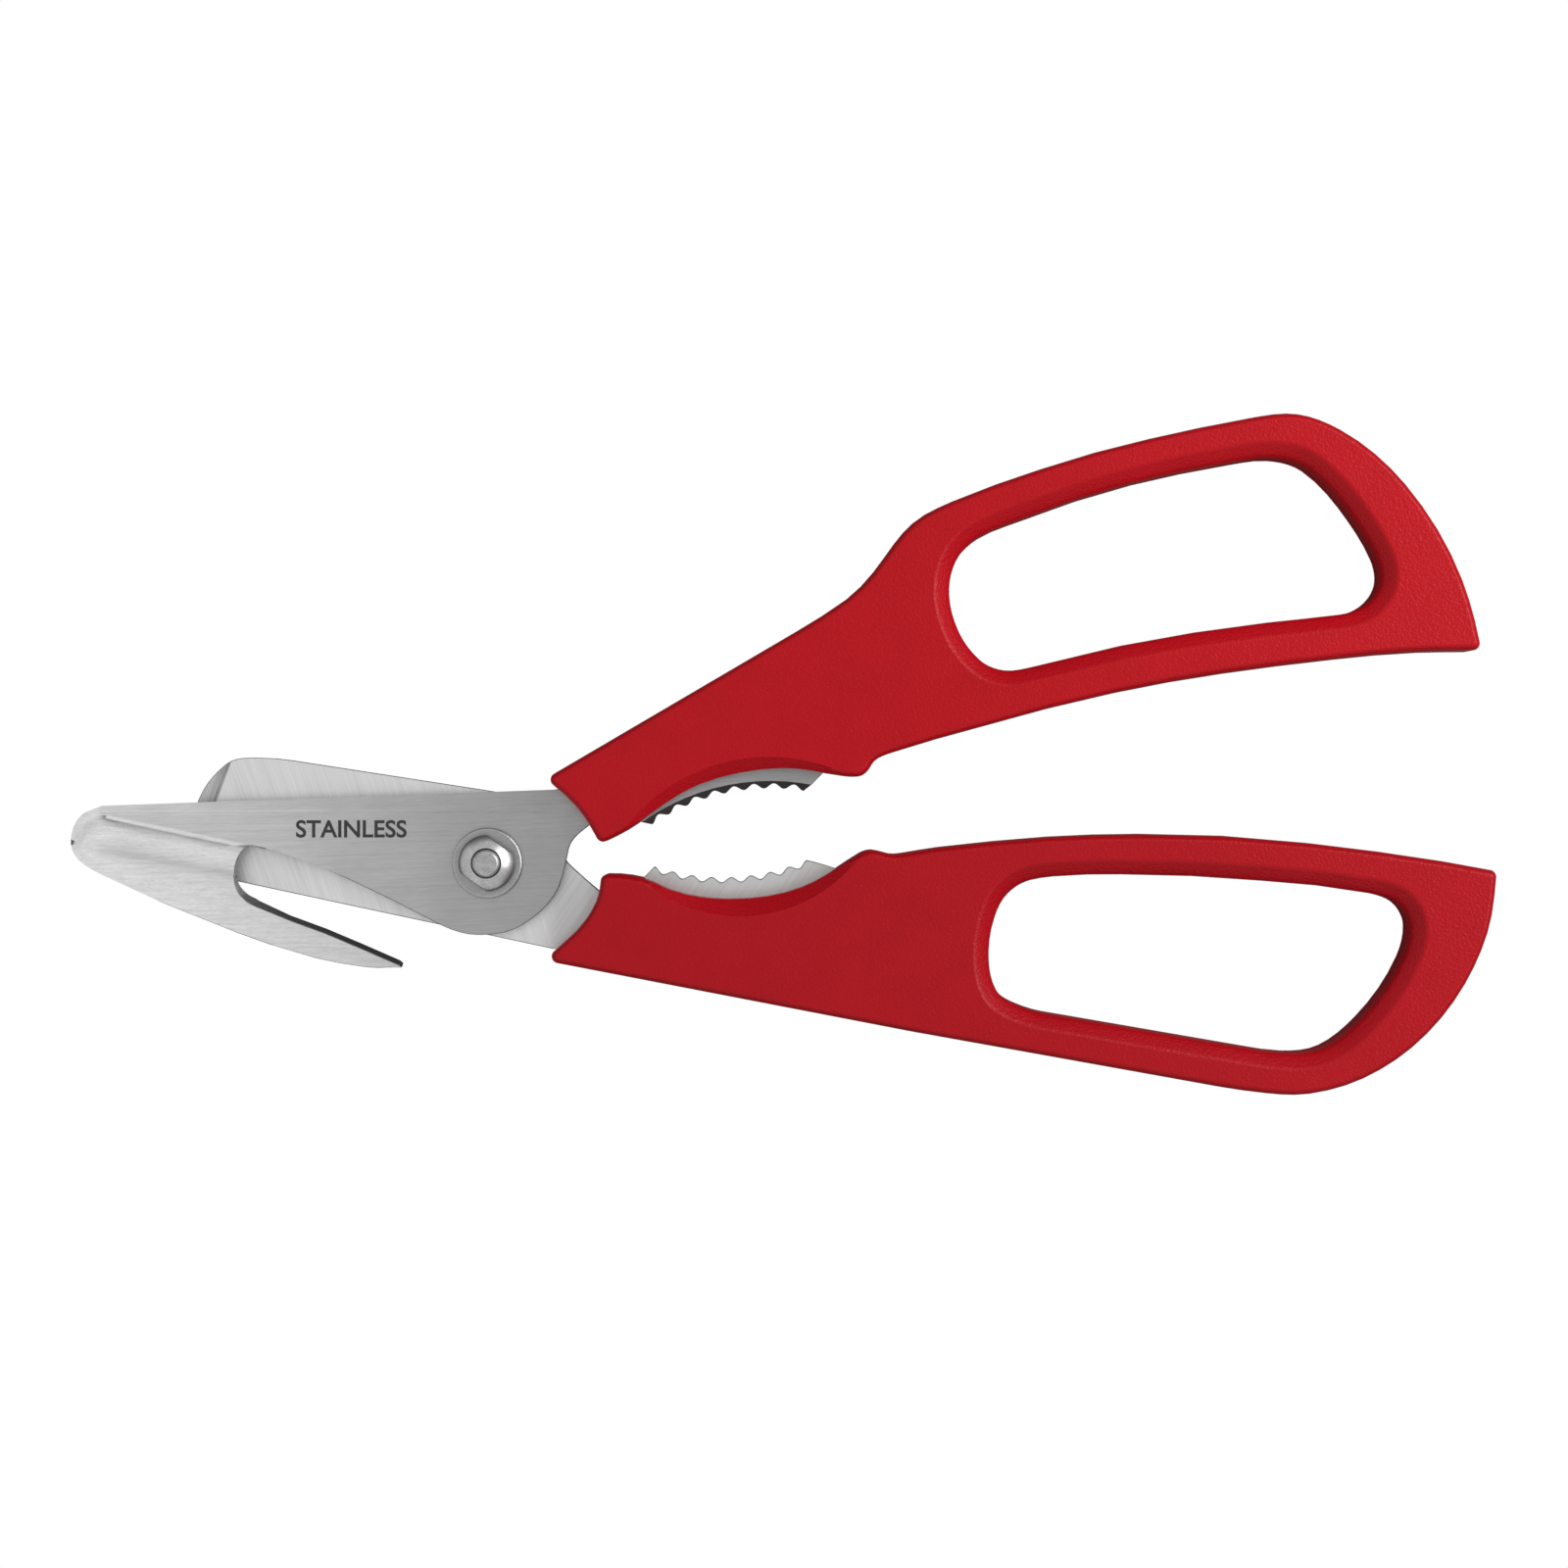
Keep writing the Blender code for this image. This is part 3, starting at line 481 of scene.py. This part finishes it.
# Round the nose the crease dies out in a soft roll: both faces' heights are evened there
NOSE = pivot + Vector((-55.2, 3.0, 0)) * MM
CHANNEL_HEADING = math.radians(-11.8)
CHANNEL = Vector((math.cos(CHANNEL_HEADING), math.sin(CHANNEL_HEADING), 0))
ROLL_REACH = 12.0          # millimetres from the nose's centre that take part
ROLL_FADE = 1.5            # over which the evening starts
ROLL_WIDTH = 1.1           # over which heights are evened
SLIVER = 0.02              # thinner faces are welded first
shape = bmesh.new()
shape.from_mesh(front.data)
bmesh.ops.dissolve_degenerate(shape, dist=SLIVER * MM, edges=shape.edges)
shape.normal_update()
for side in (1, -1):
    spots = [(vertex, vertex.co.copy()) for vertex in shape.verts
             if vertex.normal.z * side > 0
             and (vertex.co - NOSE).xy.length < ROLL_REACH * MM]
    for vertex, spot in spots:
        shares = [(math.exp(-(((other - spot).xy.length / (ROLL_WIDTH * MM)) ** 2)), other.z)
                  for _, other in spots]
        level = sum(share * height for share, height in shares) / sum(
            share for share, height in shares)
        fade = (NOSE - spot).dot(CHANNEL) / (ROLL_FADE * MM)
        vertex.co.z += (level - spot.z) * min(max(fade, 0), 1)
shape.to_mesh(front.data)
shape.free()
stamp_and_shade_edges(front, front_steel, stamped_and_shaded_steel, EDGE_UPRIGHT)

# The slot's root is punched square through the arch, so its wall shows as a narrow rim
ROOT = pivot + Vector((-33.0, 3.0, 0)) * MM
ROOT_REACH = 6.0
PULL_SHARE = 0.78          # of a wall's lean that is taken out
PULL_FADE = 3.0            # over which the sheet beside a pulled corner follows it
shape = bmesh.new()
shape.from_mesh(front.data)
pulls = []
for edge in shape.edges:
    low, high = sorted(edge.verts, key=lambda vertex: vertex.co.z)
    lean = Vector((high.co.x - low.co.x, high.co.y - low.co.y, 0))
    if (1.8 * MM < edge.calc_length() < 2.1 * MM and high.co.z - low.co.z > 1.1 * MM
            and lean.length > 0.3 * MM and (low.co - ROOT).xy.length < ROOT_REACH * MM):
        pulls.append((low, low.co.copy(), lean * PULL_SHARE))
for low, where, pull in pulls:
    low.co += pull
pulled = {low for low, where, pull in pulls}
for vertex in shape.verts:
    if vertex in pulled or vertex.normal.z > 0:
        continue
    near = [(1 - (vertex.co - where).length / (PULL_FADE * MM), pull)
            for low, where, pull in pulls if (vertex.co - where).length < PULL_FADE * MM]
    if near:
        share = max(weight for weight, pull in near)
        vertex.co += sum((pull * weight for weight, pull in near), Vector()) / sum(
            weight for weight, pull in near) * share
shape.to_mesh(front.data)
shape.free()

# Painted shade: the blade's bevels take the dark edge steel as shade lines along its edges
broken_edges(front, BREAK, angle=60, bevel_material_slot=1, smooth=60,
             left_sharp=[(NOSE, 7.5 * MM), (ROOT, 5.5 * MM)])
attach(front, "upper_half")
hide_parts("front_blade")

# The sheet's plain name is etched on the face, dull and dark
FRONT_FACE = 8.05          # height of the sheet's upper face
ETCH_PROUD = 0.002
bpy.ops.object.select_all(action="DESELECT")
bpy.ops.object.text_add(location=(0, 0, 0))
etching = bpy.context.object
etching.name = "etched_word"
etching.data.body = "STAINLESS"
etching.data.align_x = "CENTER"
etching.data.size = 3.4 * MM
etching.data.offset = 0.07 * MM
etching.data.extrude = 0.01 * MM
bpy.ops.object.convert(target="MESH")
etching.data.transform(Matrix.Translation(
    (pivot.x - 19.4 * MM, pivot.y + 3.7 * MM, (FRONT_FACE + ETCH_PROUD) * MM)))
etched, tree, shader, place = steel_tree("etched steel")
shader.inputs["Metallic"].default_value = 0.3
bite = streaks(tree, place, heading=2, width=0.05, length=1)
worked(tree, shader, bite, "161616", "2A2A2A", roughness=0.6, bump=0.2)
etching.data.materials.append(etched)
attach(etching, "upper_half")


# ---------------------------------------------------------------- rear blade
# Stainless sheet 2 mm thick, ground across the blade, so its face is lighter than the front one's.
# The grinding turns at the neck, and it stops short of a worn facet at the tip.

GRIND_WIDTH, GRIND_LENGTH = 0.12, 9       # of one mark, in millimetres
FACET_EDGE = pivot + Vector((-36.6, 14.6, 0)) * MM
FACET_OUT = Vector((-0.9385, 0.345, 0))
ground_steel, tree, shader, place = steel_tree("stainless ground across the blade")
split = add_node(tree, "ShaderNodeSeparateXYZ", None, {"Vector": place})
behind = add_node(tree, "ShaderNodeMapRange", None, {
    "Value": split.outputs["X"], "From Min": pivot.x + 8 * MM, "From Max": pivot.x + 10 * MM})
marks = add_node(tree, "ShaderNodeMix", None, {
    "Factor": behind.outputs["Result"],
    "A": streaks(tree, place, 109, GRIND_WIDTH, GRIND_LENGTH),
    "B": streaks(tree, place, 56, GRIND_WIDTH, GRIND_LENGTH)})
ground = worked(tree, shader, marks.outputs["Result"], "C4C4C4", "E2E2E2",
                roughness=0.42, bump=0.2)
# Painted shade: the ground tone is drawn darker on the tang behind the pivot
painted_tang_shade = add_node(tree, "ShaderNodeMapRange", None, {
    "Value": behind.outputs["Result"], "To Min": 0.97, "To Max": 0.82})
tone = add_node(tree, "ShaderNodeVectorMath", {"operation": "SCALE"}, {
    0: ground, "Scale": painted_tang_shade.outputs["Result"]}).outputs["Vector"]
reach = add_node(tree, "ShaderNodeVectorMath", {"operation": "DOT_PRODUCT"}, {
    0: place, 1: FACET_OUT}).outputs["Value"]
start = FACET_EDGE.dot(FACET_OUT)
facet = add_node(tree, "ShaderNodeMapRange", None, {
    "Value": reach, "From Min": start, "From Max": start + 0.2 * MM})
scuffs = add_node(tree, "ShaderNodeMapRange", None, {
    "Value": reach, "From Min": start + 0.3 * MM, "From Max": start + 1.6 * MM,
    "To Min": 1.0, "To Max": 0.0})
scuffed = add_node(tree, "ShaderNodeMath", {"operation": "MULTIPLY"}, {
    0: scuffs.outputs["Result"], 1: streaks(tree, place, 70, 0.3, 6)})
depth = add_node(tree, "ShaderNodeMath", {"operation": "MULTIPLY_ADD"}, {
    0: scuffed.outputs["Value"], 1: 0.75, 2: 0.3})
shade = add_node(tree, "ShaderNodeMath", {"operation": "MULTIPLY"}, {
    0: depth.outputs["Value"], 1: facet.outputs["Result"]})
worn = add_node(tree, "ShaderNodeMix", {"data_type": "RGBA"}, {
    "Factor": shade.outputs["Value"], 6: tone, 7: linear("404040")})
tree.links.new(worn.outputs[2], shader.inputs["Base Color"])
rear = copy_node("rear_blade", "ground_rear_blade")
stamp_and_shade_edges(rear, ground_steel, stamped_and_shaded_steel, EDGE_UPRIGHT)
# Painted shade: the blade's bevels take the dark edge steel as shade lines along its edges
broken_edges(rear, BREAK, angle=60, bevel_material_slot=1, smooth=30)
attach(rear, "lower_half")
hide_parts("rear_blade")


# ---------------------------------------------------------------- pivot
# A headed screw, a plain washer and a round nut with two flats, all of bright stainless steel.
# The nut sits on the washer at the end of the screw's stud, and the stud's end is left rough.
# Their steep faces and the nut's bevel are drawn in the dark edge steel as painted shade lines.

DOME_RADIUS = 5.27
DOME_HEIGHT = 6.66         # of the ball's middle above the table
DOME_WELD = 0.06           # closes the slivers that the ball leaves
# Turned steel keeps a clean highlight, a sheared end is mottled and a rolled washer is satin
bright_steel, tree, shader, place = steel_tree("bright turned stainless")
worked(tree, shader, streaks(tree, place, heading=0, width=0.3, length=0.3),
       "8E8E8E", "B4B4B4", roughness=0.3, bump=0.15)
dull_steel, tree, shader, place = steel_tree("sheared stainless stud")
worked(tree, shader, streaks(tree, place, heading=0, width=0.15, length=0.15),
       "6C6C6C", "C4C4C4", roughness=0.42, bump=1.0)
flat_steel, tree, shader, place = steel_tree("rolled stainless washer")
worked(tree, shader, streaks(tree, place, heading=30, width=0.06, length=0.8),
       "8C8C8C", "B0B0B0", roughness=0.34, bump=0.3)
# Faces steeper than each upright limit take the dark edge steel: painted shade lines round the
# screw, the washer and the nut's dome
for node, steel, upright in (("pivot_screw", dull_steel, 0.5), ("pivot_washer", flat_steel, 0.5),
                             ("pivot_nut", bright_steel, 0.7)):
    piece = copy_node(node, "bright_" + node)
    if node == "pivot_nut":
        # The nut is domed: a ball's surface cuts its top between the bore and the rim
        bpy.ops.object.select_all(action="DESELECT")
        bpy.ops.mesh.primitive_uv_sphere_add(
            segments=96, ring_count=96, radius=DOME_RADIUS * MM,
            location=(pivot.x, pivot.y, DOME_HEIGHT * MM))
        ball = bpy.context.object
        dome = piece.modifiers.new("dome", "BOOLEAN")
        dome.operation = "INTERSECT"
        dome.solver = "EXACT"
        dome.object = ball
        apply_modifiers(piece)
        bpy.data.objects.remove(ball)
        bpy.ops.object.mode_set(mode="EDIT")
        bpy.ops.mesh.select_all(action="SELECT")
        bpy.ops.mesh.remove_doubles(threshold=DOME_WELD * MM)
        bpy.ops.object.mode_set(mode="OBJECT")
    stamp_and_shade_edges(piece, steel, stamped_and_shaded_steel, upright)
    if node == "pivot_nut":
        # Painted shade: the nut's bevel takes the dark edge steel as a dark outline
        broken_edges(piece, 0.11, angle=40, bevel_material_slot=1, smooth=30)
    else:
        broken_edges(piece, 0.07, angle=40, bevel_material_slot=-1, smooth=30, clamped=True)
    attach(piece, "lower_half")
    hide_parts(node)
